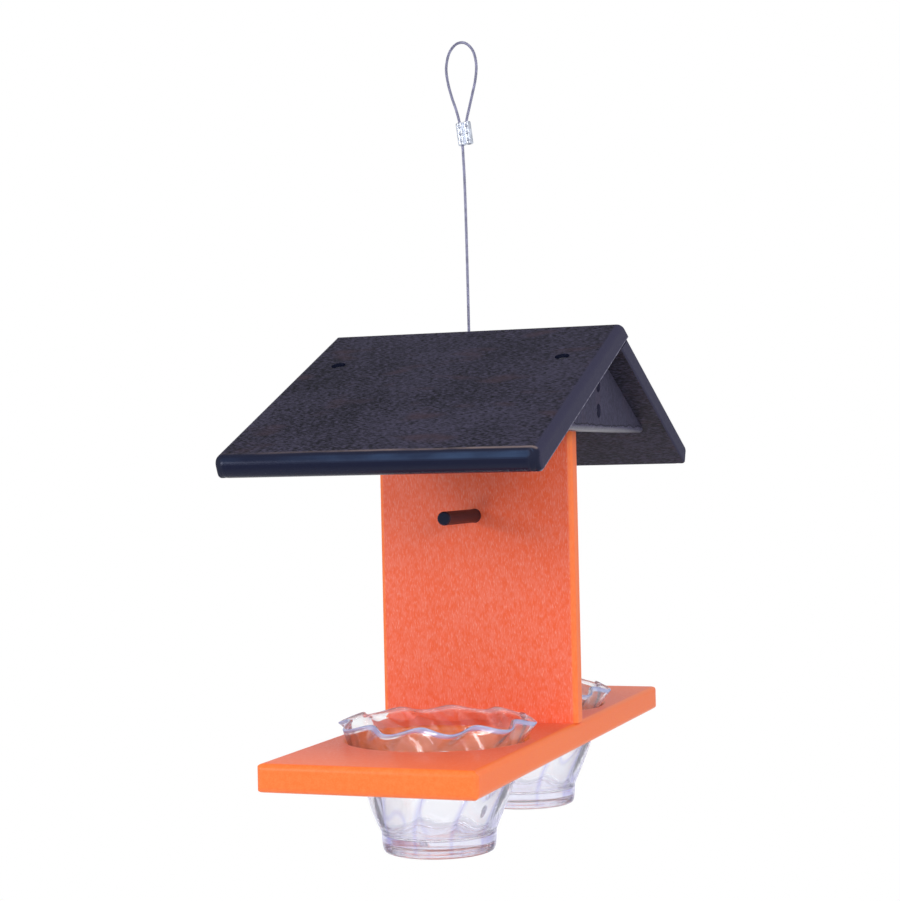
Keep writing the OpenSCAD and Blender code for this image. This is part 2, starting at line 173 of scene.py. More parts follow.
# The floor's two tones, and the shares of its radius between which it fades out
FLOOR_DEEP = (0.86, 0.86, 0.88)
FLOOR_PALE = (0.89, 0.89, 0.9)
FLOOR_FADE = (0.55, 0.97)
WHITE = (1, 1, 1)


# Shader maths

class Number:
    """A number socket that takes part in sums; each sum adds a Math node."""

    def __init__(self, graph, socket):
        self.graph = graph
        self.socket = socket

    def math(self, operation, *values, clamp=False):
        settings = {"operation": operation, "use_clamp": clamp}
        node = self.graph.node("ShaderNodeMath", settings, dict(enumerate(values)))
        return Number(self.graph, node.outputs[0])

    def __add__(self, other):
        return self.math("ADD", self, other)

    def __radd__(self, other):
        return self.math("ADD", other, self)

    def __sub__(self, other):
        return self.math("SUBTRACT", self, other)

    def __rsub__(self, other):
        return self.math("SUBTRACT", other, self)

    def __mul__(self, other):
        return self.math("MULTIPLY", self, other)

    def __rmul__(self, other):
        return self.math("MULTIPLY", other, self)

    def __truediv__(self, other):
        return self.math("DIVIDE", self, other)

    def __pow__(self, power):
        return self.math("POWER", self, power)

    def __abs__(self):
        return self.math("ABSOLUTE", self)

    def larger(self, other):
        return self.math("MAXIMUM", self, other)

    def clamped(self):
        return self.math("ADD", self, 0, clamp=True)

    def between(self, low, high):
        """0 below low, 1 above high, and an even rise from one to the other."""
        return self.math("MULTIPLY", self - low, 1 / (high - low), clamp=True)


class Graph:
    """A node tree with one way to make a node."""

    def __init__(self, tree):
        self.tree = tree
        self.tree.nodes.clear()

    def node(self, kind, settings=None, inputs=None):
        node = self.tree.nodes.new(kind)
        for name, value in (settings or {}).items():
            setattr(node, name, value)
        for key, value in (inputs or {}).items():
            if isinstance(value, Number):
                value = value.socket
            if isinstance(value, bpy.types.NodeSocket):
                self.tree.links.new(value, node.inputs[key])
            else:
                node.inputs[key].default_value = value
        return node

    def number(self, socket):
        return Number(self, socket)

    def coordinate(self, kind):
        return self.node("ShaderNodeTexCoord").outputs[kind]

    def place(self):
        return self.coordinate("Object")

    def facing(self, direction):
        """How squarely the surface faces a direction of the object, front or back."""
        return abs(self.along(direction, self.coordinate("Normal")))

    def attribute(self, name):
        return self.number(self.node("ShaderNodeAttribute", {"attribute_name": name}).outputs["Fac"])

    def along(self, direction, vector=None):
        """How far a point, or another vector, reaches along a direction."""
        settings = {"operation": "DOT_PRODUCT"}
        inputs = {0: vector or self.place(), 1: direction}
        dot = self.node("ShaderNodeVectorMath", settings, inputs)
        return self.number(dot.outputs["Value"])

    def near(self, place, reach):
        """1 at a place, fading to 0 at a distance from it."""
        settings = {"operation": "DISTANCE"}
        far = self.node("ShaderNodeVectorMath", settings, {0: self.place(), 1: place})
        return 1 - self.number(far.outputs["Value"]).between(0, reach)

    def noise(self, scale, stretch=(1, 1, 1), turn=(0, 0, 0), detail=2.0, rough=0.5):
        """Noise with features about 1 / scale metres wide, drawn out where stretch is small."""
        turned = self.node("ShaderNodeMapping", None, {"Vector": self.place(), "Rotation": turn})
        mapped = self.node(
            "ShaderNodeMapping", None, {"Vector": turned.outputs[0], "Scale": stretch}
        )
        inputs = {"Vector": mapped.outputs[0], "Scale": scale, "Detail": detail, "Roughness": rough}
        return self.number(self.node("ShaderNodeTexNoise", None, inputs).outputs[0])

    def blend(self, factor, first, second):
        """A colour between two others, each a link or red, green and blue."""
        first, second = (
            side if isinstance(side, bpy.types.NodeSocket) else colour(side)
            for side in (first, second)
        )
        inputs = {0: factor, 6: first, 7: second}
        return self.node("ShaderNodeMix", {"data_type": "RGBA"}, inputs).outputs[2]

    def bump(self, height, distance, strength):
        inputs = {"Height": height, "Distance": distance, "Strength": strength}
        return self.node("ShaderNodeBump", None, inputs).outputs[0]

    def transparent(self, rgb):
        return self.node("ShaderNodeBsdfTransparent", None, {"Color": colour(rgb)}).outputs[0]

    def principled(self, inputs):
        return self.node("ShaderNodeBsdfPrincipled", None, inputs).outputs[0]

    def mixed(self, factor, first, second):
        """A surface between two others."""
        return self.node("ShaderNodeMixShader", None, {0: factor, 1: first, 2: second}).outputs[0]

    def finish(self, surface):
        self.node("ShaderNodeOutputMaterial", None, {"Surface": surface})


def new_material(name):
    material = bpy.data.materials.new(name)
    material.use_nodes = True
    return material, Graph(material.node_tree)


def colour(rgb):
    return (*rgb, 1.0)


# Materials

def lumber_pattern(graph, grain, turn):
    """The marks of extruded recycled lumber: broad tone, mottle and fine drawn fibres."""
    broad = graph.noise(22, detail=1.0, turn=turn)
    mottle = graph.noise(420, stretch=[1 if g == 0 else 0.6 for g in grain], turn=turn, detail=3.0)
    fibre = graph.noise(1700, stretch=[1 if g == 0 else 0.25 for g in grain], turn=turn, detail=2.0)
    return broad, mottle, fibre


def orange_lumber(name, grain, face, colours, extra=None):
    """Orange lumber: salmon faces with pale fibres, and plainer, purer orange edges; the faces' paler
    tone is partly painted sheen.
    """
    material, graph = new_material(name)
    broad, mottle, fibre = lumber_pattern(graph, grain, (0, 0, 0))
    tone = 0.5 + 0.5 * (broad - 0.5) + 2.4 * (mottle - 0.5) + 2.6 * (fibre - 0.5)
    strands = fibre.between(0.57, 0.72) * 0.7
    skin = graph.blend(tone.clamped(), colours.orange_deep, colours.orange_pale)
    skin = graph.blend(strands, skin, colours.orange_fibre)
    if extra:
        skin = extra(graph, skin)
    # The faces' paler salmon tone is partly painted sheen of the white surroundings; the edges keep the
    # purer orange
    flat = graph.facing(face).between(0.93, 0.995)
    edge = graph.blend(tone.clamped(), colours.orange_edge, colours.orange_edge_pale)
    height = (0.55 * fibre + 0.45 * mottle) * (0.35 + 0.65 * flat)
    graph.finish(graph.principled({
        "Base Color": graph.blend(flat, edge, skin),
        "Roughness": 0.3 + 0.22 * mottle + 0.06 * flat,
        "Specular IOR Level": 0.5,
        "Normal": graph.bump(height, distance=0.12 * MM, strength=0.6),
    }))
    return material


def peg_painted_shade(graph, skin):
    """A soft painted shade on the upright over the peg's root."""
    over = [a + b for a, b in zip(PEG_ROOT, (6 * MM, 0, 7 * MM))]
    # Painted shade: darkest just over the root, fading out within 10 mm
    painted_shade = graph.near(over, 10 * MM)
    return graph.blend(painted_shade * painted_shade * 0.3, skin, PEG_PAINTED_SHADE)


def base_ends(graph, skin):
    """The base's top is plainer and purer orange towards its two ends."""
    end = abs(graph.along((0, 1, 0))).between(110 * MM, 165 * MM)
    return graph.blend(end * 0.75, skin, BASE_END)


def black_lumber(name, grain, face, turn, colours, extra=None):
    """Black lumber: charcoal with fine drawn streaks, dull sawn ends and glossier long edges."""
    material, graph = new_material(name)
    broad, mottle, fibre = lumber_pattern(graph, grain, turn)
    tone = 0.45 + 1.2 * (broad - 0.5) + 1.7 * (mottle - 0.5) + 5.0 * (fibre - 0.5)
    skin = graph.blend(tone.clamped(), colours.black_deep, colours.black_pale)
    patches = graph.noise(75, stretch=[1 if g == 0 else 0.5 for g in grain], turn=turn, detail=1.0)
    skin = graph.blend(patches.between(0.58, 0.75) * 0.6, skin, colours.black_warm)
    flat = graph.facing(face).between(0.9, 0.99)
    beyond = abs(graph.along((1, 0, 0)) - ROOF_MIDDLE).between(ROOF_REACH, ROOF_REACH + 1 * MM)
    ends = graph.facing((1, 0, 0)).between(0.04, 0.3) * beyond
    edge = graph.blend(ends, colours.black_edge, colours.black_end)
    skin = graph.blend(flat, edge, skin)
    height = (0.6 * fibre + 0.4 * mottle) * (0.15 + 0.85 * (flat + 0.6 * ends).clamped())
    rough = 0.2 + 0.1 * mottle + 0.38 * (flat + ends).clamped()
    if extra:
        skin, rough = extra(graph, skin, rough)
    graph.finish(graph.principled({
        "Base Color": skin,
        "Roughness": rough,
        "Specular IOR Level": 0.17,
        "Specular Tint": colour(BLACK_GLOSS),
        "Normal": graph.bump(height, distance=0.2 * MM, strength=0.9),
    }))
    return material


def front_wear_and_highlights(graph, skin, rough):
    """The front panel's wear and painted highlights: a rubbed line over the nose, a darker nose with a
    painted highlight band, and painted highlights along the lower edges of its ends.
    """
    slope = (0, -math.cos(ROOF_PITCH), -math.sin(ROOF_PITCH))
    out = (0, -math.sin(ROOF_PITCH), math.cos(ROOF_PITCH))
    wander = 1.2 * MM * (graph.noise(30, detail=2.0) - 0.5)
    run = graph.along(slope) + RIDGE_Z * math.sin(ROOF_PITCH)
    depth = RIDGE_Z * math.cos(ROOF_PITCH) - graph.along(out)
    line_half = 1.5 * MM
    line = 1 - (abs(run - FRONT_RUN + wander) / line_half).clamped()
    rubbed = graph.noise(160, stretch=(0.3, 1, 1), detail=3.0).between(0.25, 0.55)
    right = graph.along((1, 0, 0)).between(-60 * MM, 20 * MM)
    worn = line * (1 - depth.between(0.9 * MM, 1.4 * MM)) * rubbed * (0.25 + 0.75 * right)
    nose = (run - FRONT_RUN).between(-1 * MM, 1.5 * MM)
    cut = graph.facing((1, 0, 0)).between(0.85, 0.97)
    skin = graph.blend(nose * (1 - cut), skin, NOSE_DARK)
    skin = graph.blend(worn.clamped() * 0.9, skin, RUBBED_LINE)
    # Painted highlight: a pale, broken line along the lower edges of the ends
    low_edge = depth.between(PANEL_THICK - 1.6 * MM, PANEL_THICK - 0.7 * MM)
    edge_highlight = graph.facing((1, 0, 0)).between(0.3, 0.6) * low_edge
    edge_highlight = edge_highlight * graph.noise(300, detail=3.0).between(0.3, 0.55)
    skin = graph.blend(edge_highlight * 0.9, skin, END_EDGE_PAINTED_HIGHLIGHT)
    # Painted highlight: a steel-blue band high on the nose, in patches and stronger to the right
    band = graph.facing((0, -0.93, 0.37)).between(0.93, 0.99) * (0.2 + 0.8 * right)
    patchy = graph.noise(90, stretch=(0.5, 1, 1), detail=2.0).between(0.35, 0.65)
    skin = graph.blend(band * (0.35 + 0.65 * patchy), skin, NOSE_PAINTED_HIGHLIGHT)
    return skin, rough + worn * 0.2


def block_marks_and_highlight(graph, skin, rough):
    """The blocks' faces are paler, with a torn crack just over the lower edge and flecks below it,
    partly a painted highlight.
    """
    crack_height = 3.4 * MM
    crack_half = 0.6 * MM
    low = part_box("right_gable_block")[0][2]
    over = graph.along((0, 0, 1)) - low
    wander = 5 * MM * (graph.noise(110, stretch=(1, 1, 0.05), detail=5.0, rough=0.65) - 0.5)
    gap = over - crack_height - wander
    skin = graph.blend(0.36, skin, BLOCK_PALE)
    # Flecks below the crack, partly a painted highlight on the rounded lower edge
    flecks = graph.noise(800, stretch=(1, 1, 0.5), detail=3.0).between(0.4, 0.65)
    skin = graph.blend((0 - gap).between(0, 0.5 * MM) * flecks * 0.6, skin, BLOCK_FLECK_AND_HIGHLIGHT)
    crack = 1 - (abs(gap) / crack_half).clamped()
    return graph.blend(crack * 0.85, skin, BLOCK_CRACK), rough + 0.1


def peg_ends(graph, skin, rough):
    """The peg's sides are a dark maroon and its cut ends a bluish black."""
    cut = graph.facing((0, 1, 0)).between(0.6, 0.9)
    return graph.blend(cut, PEG_SIDE, PEG_END), 0.4


def smooth_metal(name, tint, rough, metallic=1.0):
    """Drawn or pressed metal with faint handling marks."""
    material, graph = new_material(name)
    marks = graph.noise(1800, detail=3.0)
    stains = graph.noise(300, detail=2.0)
    dark = [0.72 * c for c in tint]
    graph.finish(graph.principled({
        "Base Color": graph.blend(stains.between(0.35, 0.65), dark, tint),
        "Metallic": metallic,
        "Roughness": rough + 0.18 * marks,
        "Normal": graph.bump(marks, distance=0.03 * MM, strength=0.5),
    }))
    return material


def clear_plastic(name, tint, edge_tint, rim_reflection_tint):
    """Clear moulded plastic, blue where it is thick or seen edge on, with a painted reflection round
    the rim.

    Part of it is plainly see-through, so that some light goes straight on to what lies behind.
    """
    material, graph = new_material(name)
    shadow = graph.number(graph.node("ShaderNodeLightPath").outputs["Is Shadow Ray"])
    weight = graph.node("ShaderNodeLayerWeight", None, {"Blend": 0.4})
    facing = graph.number(weight.outputs["Facing"])
    rim = graph.attribute("rim")
    blue = graph.attribute("blue")
    inside = graph.number(graph.node("ShaderNodeNewGeometry").outputs["Backfacing"])
    smears = graph.noise(120, detail=3.0)
    wavy = graph.bump(smears, distance=0.08 * MM, strength=0.3)
    slant = facing * facing
    thick = (0.55 * slant + blue).clamped()
    body = graph.blend(thick, tint, edge_tint)
    through = graph.mixed(thick, graph.transparent(tint), graph.transparent(edge_tint))
    clear = graph.principled({
        "Base Color": body,
        "Roughness": 0.01 + 0.02 * smears,
        "IOR": 1.49,
        "Transmission Weight": 1.0,
        "Normal": wavy,
    })
    rim_reflection_tone = graph.blend(smears * 0.6, rim_reflection_tint, RIM_PAINTED_GLINT)
    # Painted reflection: the rim's band is an opaque, glossy blue-grey with paler glints, pinkish on
    # its inner side
    rim_painted_reflection = graph.principled({
        "Base Color": graph.blend(inside, rim_reflection_tone, RIM_INSIDE_PAINTED_REFLECTION),
        "Roughness": 0.06 + 0.05 * smears,
        "Specular IOR Level": 0.8,
        "Normal": wavy,
    })
    glass = graph.mixed(0.06 + 0.4 * slant, clear, through)
    glass_with_painted_rim = graph.mixed(rim * (0.75 - 0.45 * inside), glass, rim_painted_reflection)
    graph.finish(graph.mixed(shadow * 0.3, glass_with_painted_rim, through))
    return material


# Pieces

def finish_mesh(shape, name):
    mesh = bpy.data.meshes.new(name)
    shape.to_mesh(mesh)
    shape.free()
    mesh.shade_smooth()
    return mesh


def add_piece(name, mesh, body, material):
    piece = bpy.data.objects.new(name, mesh)
    bpy.context.scene.collection.objects.link(piece)
    mesh.materials.clear()
    mesh.materials.append(material)
    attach(piece, body)
    return piece


def repaint(node, material):
    """Gives a solid of the frame its material."""
    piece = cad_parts[node]
    for slot in piece.material_slots:
        slot.material = material


def weld(shape, reach):
    """Merges points that lie within a distance of each other."""
    bmesh.ops.remove_doubles(shape, verts=shape.verts, dist=reach)


def spun(profile, steps):
    """A closed shape turned round Z from a profile of (radius, height) points."""
    shape = bmesh.new()
    verts = [shape.verts.new((r, 0, z)) for r, z in profile]
    edges = [shape.edges.new(pair) for pair in zip(verts, verts[1:])]
    bmesh.ops.spin(
        shape, geom=verts + edges, cent=(0, 0, 0), axis=(0, 0, 1),
        angle=math.tau, steps=steps, use_merge=True,
    )
    weld(shape, 0.001 * MM)
    bmesh.ops.recalc_face_normals(shape, faces=shape.faces)
    return shape


def smooth_line(points, step):
    """Points at an even step along the smooth curve that goes through the given points."""
    line = []
    last = len(points) - 1
    for k in range(last):
        a, b, c, d = (points[max(0, min(last, k + j))] for j in (-1, 0, 1, 2))
        count = max(2, round((c - b).length / step))
        for j in range(count):
            u = j / count
            line.append(0.5 * (
                2 * b + (c - a) * u + (2 * a - 5 * b + 4 * c - d) * u ** 2
                + (3 * b - a - 3 * c + d) * u ** 3
            ))
    line.append(points[last])
    return line


def cable_mesh(line, size, name):
    """Strands laid round a core along a line in the plane y 0, three across the cable."""
    strand_r = size.diameter / 6
    overlap = 1.02
    curve = bpy.data.curves.new(name, "CURVE")
    curve.dimensions = "3D"
    curve.bevel_depth = strand_r * overlap
    curve.bevel_resolution = 2
    curve.use_fill_caps = True
    run = 0.0
    runs = []
    for a, b in zip([line[0]] + line, line):
        run += (b - a).length
        runs.append(run)
    for strand in range(size.strands + 1):
        places = []
        for k, (point, run) in enumerate(zip(line, runs)):
            if strand < size.strands:
                ahead = (line[min(k + 1, len(line) - 1)] - line[max(k - 1, 0)]).normalized()
                side = Vector((ahead.z, 0, -ahead.x))
                across = Vector((0, 1, 0))
                turn = math.tau * (run / size.lay + strand / size.strands)
                point = point + 2 * strand_r * (math.cos(turn) * side + math.sin(turn) * across)
            places.append(point)
        spline = curve.splines.new("POLY")
        spline.points.add(len(places) - 1)
        for spline_point, place in zip(spline.points, places):
            spline_point.co = (*place, 1)
    holder = bpy.data.objects.new(name, curve)
    mesh = bpy.data.meshes.new_from_object(holder)
    bpy.data.objects.remove(holder)
    bpy.data.curves.remove(curve)
    mesh.shade_smooth()
    return mesh


def ferrule_shape(size):
    """Two barrels side by side with a web between them, pressed flat in three bands."""
    half = size.length / 2
    r = size.barrel / 2
    bore = size.bore / 2
    ease = 0.5 * MM
    bands = 3.2
    plain_end = 1.2 * MM
    end = [
        (bore, -half + 0.3 * MM), (bore + 0.25 * MM, -half), (r - ease, -half),
        (r - 0.3 * ease, -half + 0.3 * ease), (r, -half + ease),
    ]
    outside = end[:]
    rows = 28
    for k in range(1, rows):
        z = -half + ease + (size.length - 2 * ease) * k / rows
        outside.append((r, z))
    outside += [(radius, -z) for radius, z in reversed(end)]
    whole = bmesh.new()
    for side in (-1, 1):
        barrel = spun(outside + [outside[0]], 40)
        bmesh.ops.translate(barrel, vec=(side * size.gap / 2, 0, 0), verts=barrel.verts)
        held = bpy.data.meshes.new("barrel")
        barrel.to_mesh(held)
        barrel.free()
        whole.from_mesh(held)
        bpy.data.meshes.remove(held)
    web = bmesh.ops.create_cube(whole, size=1.0)["verts"]
    bmesh.ops.scale(whole, vec=(size.gap, 0.6 * size.barrel, size.length - 0.6 * MM), verts=web)
    for vert in whole.verts:
        band = 0.5 + 0.5 * math.cos(math.tau * vert.co.z / (size.length / bands))
        limit = r - size.press * (band ** 3) * (abs(vert.co.z) < half - plain_end)
        vert.co.y = max(-limit, min(limit, vert.co.y))
    place = Matrix.Translation(FERRULE_PLACE) @ Matrix.Rotation(FERRULE_TILT, 4, "Y")
    bmesh.ops.transform(whole, matrix=place, verts=whole.verts)
    return whole


def edge_inset(depth, radius):
    """How far a rounded edge stands back at a depth under the face."""
    return radius - math.sqrt(max(0, radius ** 2 - max(0, radius - depth) ** 2))


def rounded_panel(node, side, corner):
    """A copy of a roof panel whose two corners at the eave are rounded over like its nose."""
    shape = bmesh.new()
    shape.from_mesh(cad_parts[node].data)
    weld(shape, 0.002 * MM)
    slope = Vector((0, side * math.cos(ROOF_PITCH), -math.sin(ROOF_PITCH)))
    out = Vector((0, side * math.sin(ROOF_PITCH), math.cos(ROOF_PITCH)))
    turn = Matrix((Vector((1, 0, 0)), slope, out)).to_4x4()
    to_panel = turn @ Matrix.Translation((0, 0, -RIDGE_Z))
    bmesh.ops.transform(shape, matrix=to_panel, verts=shape.verts)
    low_x = min(vert.co.x for vert in shape.verts)
    high_x = max(vert.co.x for vert in shape.verts)
    nose = max(vert.co.y for vert in shape.verts)
    cuts = []
    levels = 12
    insets = 8
    for k in range(1, levels):
        level = 0.5 * PANEL_THICK * (math.cos(math.pi * k / levels) - 1)
        cuts.append(((0, 0, level), (0, 0, 1)))
    for k in range(insets):
        inset = corner * (1 - math.sin(0.5 * math.pi * k / insets))
        cuts.append(((low_x + inset, 0, 0), (1, 0, 0)))
        cuts.append(((high_x - inset, 0, 0), (1, 0, 0)))
        cuts.append(((0, nose - inset, 0), (0, 1, 0)))
    near = 0.01 * MM
    for place, across in cuts:
        every = shape.verts[:] + shape.edges[:] + shape.faces[:]
        bmesh.ops.bisect_plane(shape, geom=every, plane_co=place, plane_no=across, dist=near)
    for vert in shape.verts:
        past_x = max(vert.co.x - high_x, low_x - vert.co.x) + corner
        past_y = vert.co.y - nose + corner
        if past_x <= 0 or past_y <= 0:
            continue
        past = math.hypot(past_x, past_y)
        share = min(1, 2 * (past_y / past) ** 2)
        upper = edge_inset(-vert.co.z, END_ROUND + (NOSE_ROUND - END_ROUND) * share)
        lower = edge_inset(PANEL_THICK + vert.co.z, END_EASE + (NOSE_ROUND - END_EASE) * share)
        reach = (corner - max(upper, lower)) / past
        if reach < 1:
            vert.co.x -= math.copysign(past_x * (1 - reach), vert.co.x)
            vert.co.y -= past_y * (1 - reach)
    weld(shape, near)
    bmesh.ops.triangulate(shape, faces=shape.faces)
    bmesh.ops.transform(shape, matrix=to_panel.inverted(), verts=shape.verts)
    return shape


class CupForm:
    """A cup's shape in millimetres, with heights counted from the underside of its foot."""

    foot_r = 30.2
    foot_h = 10.6
    foot_step = 0.2
    # The wall leaves the foot in a round belly, then widens evenly up to its seat in the board
    belly = 2.4
    belly_h = 9
    seat_r = 47
    seat_h = 55.7
    floor_h = 8.4
    # Extra depth of the flutes at the rim, and where a crest stands there
    rim_flute = 2.2
    rim_crest = math.radians(10)
    # Where the sharp creases between the flutes start to fade, and how wide and blue they look
    crease_top = 38
    crease_width = 0.36
    crease_blue = 0.8
    foot_blue = 0.16
    bead_r = 1.25
    # Depth of the band under the rim that carries the painted reflection
    painted_rim_depth = 2.0

    def __init__(self, size):
        self.top = size.height / MM
        self.rim_r = size.rim / MM
        self.thick = size.wall / MM
        self.flutes = size.flutes
        self.flute = size.flute / MM
        self.swirl = size.swirl
        self.ruffle = size.ruffle / MM
        rise = self.seat_h - self.foot_h
        start = self.foot_r + self.foot_step
        self.slope = (self.seat_r - start - self.belly * self.grown(self.seat_h)) / rise

    def grown(self, z):
        """How far the belly and the flutes have grown over the foot, from 0 towards 1."""
        return 1 - math.exp(-(z - self.foot_h) / self.belly_h)

    def flare(self, z):
        """How far the wall has turned out into the rim, from 0 at the seat to 1."""
        return (max(0, z - self.seat_h) / (self.top - self.seat_h)) ** 2

    def wall(self, z):
        rise = z - self.foot_h
        return self.foot_r + self.foot_step + self.belly * self.grown(z) + self.slope * rise

    def depth(self, z):
        """Radial depth of the flutes at a height."""
        return self.flute * self.grown(z) + self.rim_flute * self.flare(z)

    def radius(self, z):
        """The wall's mean radius at a height."""
        return self.wall(z) + (self.rim_r - self.wall(self.top)) * self.flare(z) - self.depth(z)

    def turn(self, z):
        """How far a flute has turned back from its place at the rim."""
        return self.swirl * (1 - (max(0, z - self.foot_h) / (self.top - self.foot_h)) ** 1.5)

    def phase(self, around, z):
        """A point's place in the flutes' wave: a crest at 0 and a crease at half a turn."""
        return self.flutes * (around - self.rim_crest + self.turn(z))

    def low(self, z):
        """1 in the lower part of the wall, fading to 0 at the seat."""
        return 1 - max(0, min(1, (z - self.crease_top) / (self.seat_h - self.crease_top)))

    def wave(self, around, z):
        """The flutes' wave: round at the rim, with sharper creases lower down."""
        phase = self.phase(around, z)
        crease = 0.7 * self.low(z)
        scallop = 2 * abs(math.cos(phase / 2)) - 1
        return (1 - crease) * math.cos(phase) + crease * scallop

    def blue(self, around, z):
        """How thick and blue the plastic looks: in the creases, and in the foot."""
        crest = abs(math.cos(self.phase(around, z) / 2))
        crease = self.crease_blue * max(0, 1 - crest / self.crease_width) * self.low(z)
        return max(crease, self.foot_blue * (1 - self.grown(z)))

    def profile(self):
        """Half the cup's section, from the middle of its underside over the rim to its floor."""
        foot = [(radius, 4.8) for radius in (0, 10, 20, 23.8)]
        foot += [
            (25.1, 4.55), (25.9, 3.9), (26.3, 2.6), (26.6, 1.0), (27.0, 0.25), (27.6, 0),
            (28.3, 0), (28.9, 0.3), (29.35, 1.1), (29.7, 2.6), (29.9, 4.2), (30.05, 7),
            (30.2, 9.6), (30.25, 10.3), (30.4, 10.8),
        ]
        low = 11.2
        high = self.top - 0.9
        outer_rows = 46
        heights = [low + (high - low) * k / outer_rows for k in range(outer_rows + 1)]
        outer = [(self.radius(z), z) for z in heights]
        rim = []
        middle_r = self.radius(self.top) - self.bead_r
        for k in range(1, 10):
            turn = math.pi * k / 9
            height = self.top - 0.45 + self.bead_r * math.sin(turn)
            rim.append((middle_r + self.bead_r * math.cos(turn), height))
        inner = [
            (self.radius(z) - self.thick, z) for z in reversed(heights) if z > self.floor_h + 3.8
        ]
        corner = self.radius(self.floor_h + 3.4) - self.thick
        floor = [
            (corner - inset, self.floor_h + rise) for inset, rise in (
                (0.25, 3.4), (0.5, 2.5), (1.0, 1.6), (1.8, 0.8), (2.8, 0.3), (4.2, 0.05), (6.0, 0),
            )
        ]
        floor += [(radius, self.floor_h) for radius in (18, 12, 6, 0)]
        return [(radius * MM, z * MM) for radius, z in foot + outer + rim + inner + floor]

    def shape(self, steps):
        """The section turned round the middle, then fluted, swirled and ruffled."""
        shape = spun(self.profile(), steps)
        rim = shape.verts.layers.float.new("rim")
        blue = shape.verts.layers.float.new("blue")
        for vert in shape.verts:
            z = vert.co.z / MM
            level = max(self.foot_h, min(z, self.top))
            radius = math.hypot(vert.co.x, vert.co.y) / MM
            outside = radius > self.radius(level) - 0.5 * self.thick
            around = math.atan2(vert.co.y, vert.co.x)
            # The rim attribute marks where the painted reflection goes
            vert[rim] = max(0, min(1, z - self.top + self.painted_rim_depth)) * outside
            vert[blue] = self.blue(around, level) if outside else 0
            if z < self.floor_h + 0.05 or radius < 1:
                continue
            wave = self.wave(around, level)
            rise = self.ruffle * max(0, level - self.seat_h) / (self.top - self.seat_h)
            depth = self.depth(level) * (1 if outside else 1 - 0.6 * self.low(level))
            grown = (radius + depth * wave) / radius
            vert.co.x *= grown
            vert.co.y *= grown
            vert.co.z -= rise * wave * MM
        return shape


# Settings

class CableSettings(PropertyGroup):
    diameter: FloatProperty(
        name="Diameter", description="Diameter of the cable", default=1.6 * MM, subtype="DISTANCE",
    )
    strands: IntProperty(
        name="Strands", description="Number of strands round the core", default=6,
    )
    lay: FloatProperty(
        name="Lay", description="Length in which a strand goes once round", default=9 * MM,
        subtype="DISTANCE",
    )
    tint: FloatVectorProperty(
        name="Steel", description="Colour of the cable", default=(0.34, 0.34, 0.47), subtype="COLOR",
    )


class FerruleSettings(PropertyGroup):
    length: FloatProperty(
        name="Length", description="Length of the ferrule", default=12.8 * MM, subtype="DISTANCE",
    )
    barrel: FloatProperty(
        name="Barrel", description="Diameter of each barrel", default=4.5 * MM, subtype="DISTANCE",
    )
    gap: FloatProperty(
        name="Gap", description="Distance between the barrels' middles", default=4.2 * MM,
        subtype="DISTANCE",
    )
    bore: FloatProperty(
        name="Bore", description="Diameter of the bores", default=1.8 * MM, subtype="DISTANCE",
    )
    press: FloatProperty(
        name="Press", description="Depth of the pressed bands", default=0.35 * MM, subtype="DISTANCE",
    )
    tint: FloatVectorProperty(
        name="Alloy", description="Colour of the ferrules", default=(0.70, 0.75, 0.84), subtype="COLOR",
    )


class CupSettings(PropertyGroup):
    height: FloatProperty(
        name="Height", description="Height of the rim's middle", default=67.6 * MM, subtype="DISTANCE",
    )
    rim: FloatProperty(
        name="Rim radius", description="Radius of the rim", default=53.2 * MM, subtype="DISTANCE",
    )
    wall: FloatProperty(
        name="Wall", description="Thickness of the wall", default=1.8 * MM, subtype="DISTANCE",
    )
    flutes: IntProperty(name="Flutes", description="Number of swirled flutes", default=10)
    flute: FloatProperty(
        name="Flute depth", description="Radial depth of the flutes", default=1.1 * MM,
        subtype="DISTANCE",
    )
    swirl: FloatProperty(
        name="Swirl", description="Turn of a flute from foot to rim", default=math.radians(50),
        subtype="ANGLE",
    )
    ruffle: FloatProperty(
        name="Ruffle", description="Rise and fall of the rim", default=1.5 * MM, subtype="DISTANCE",
    )
    round_steps: IntProperty(name="Steps", description="Steps round the cup", default=300)
    tint: FloatVectorProperty(
        name="Plastic", description="Colour of the clear plastic", default=(0.98, 0.985, 1.0),
        subtype="COLOR",
    )
    edge_tint: FloatVectorProperty(
        name="Plastic edge", description="Colour of the plastic seen edge on",
        default=(0.52, 0.51, 0.88), subtype="COLOR",
    )
    # Colour of the painted reflection round the rim
    rim_reflection_tint: FloatVectorProperty(
        name="Plastic rim", description="Colour of the thick rim",
        default=(0.22, 0.30, 0.60), subtype="COLOR",
    )


